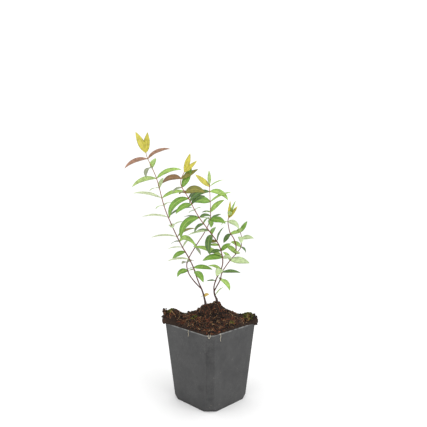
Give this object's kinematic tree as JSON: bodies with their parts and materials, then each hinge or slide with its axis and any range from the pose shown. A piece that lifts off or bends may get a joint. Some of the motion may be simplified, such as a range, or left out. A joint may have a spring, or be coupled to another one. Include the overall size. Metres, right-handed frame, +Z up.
{
  "type": "potted hypericum",
  "caption": "Young hypericum shrub with two wiry stems and paired leaves, in a dark square nursery pot heaped with peat",
  "frame": {"origin": "middle of the flat underside of the pot", "axes": "+Z up; -Y towards the front, where one chamfered corner of the pot points; +X to the right seen from the front"},
  "size_m": [0.1708, 0.1162, 0.3459],
  "materials": {
    "pot": "matt dark grey moulded plastic with a dusty haze and water marks",
    "peat": "moist fibrous brown peat with some moss",
    "bark": "smooth reddish-brown young bark, darker near the soil",
    "leaf": "soft green leaves, bronze and yellow at the tips"
  },
  "bodies": {
    "root": {"pot": "pot", "soil": "peat", "stem_left": "bark", "stem_right": "bark", "bough_left": "bark", "bough_rear": "bark", "bough_middle": "bark", "bough_right": "bark", "foliage_left_low": "leaf", "foliage_left_middle": "leaf", "foliage_left_top": "leaf", "foliage_rear_low": "leaf", "foliage_rear_top": "leaf", "foliage_middle_low": "leaf", "foliage_middle_high": "leaf", "foliage_middle_top": "leaf", "foliage_right_low": "leaf", "foliage_right_top": "leaf", "foliage_inner": "leaf"}
  },
  "joints": []
}
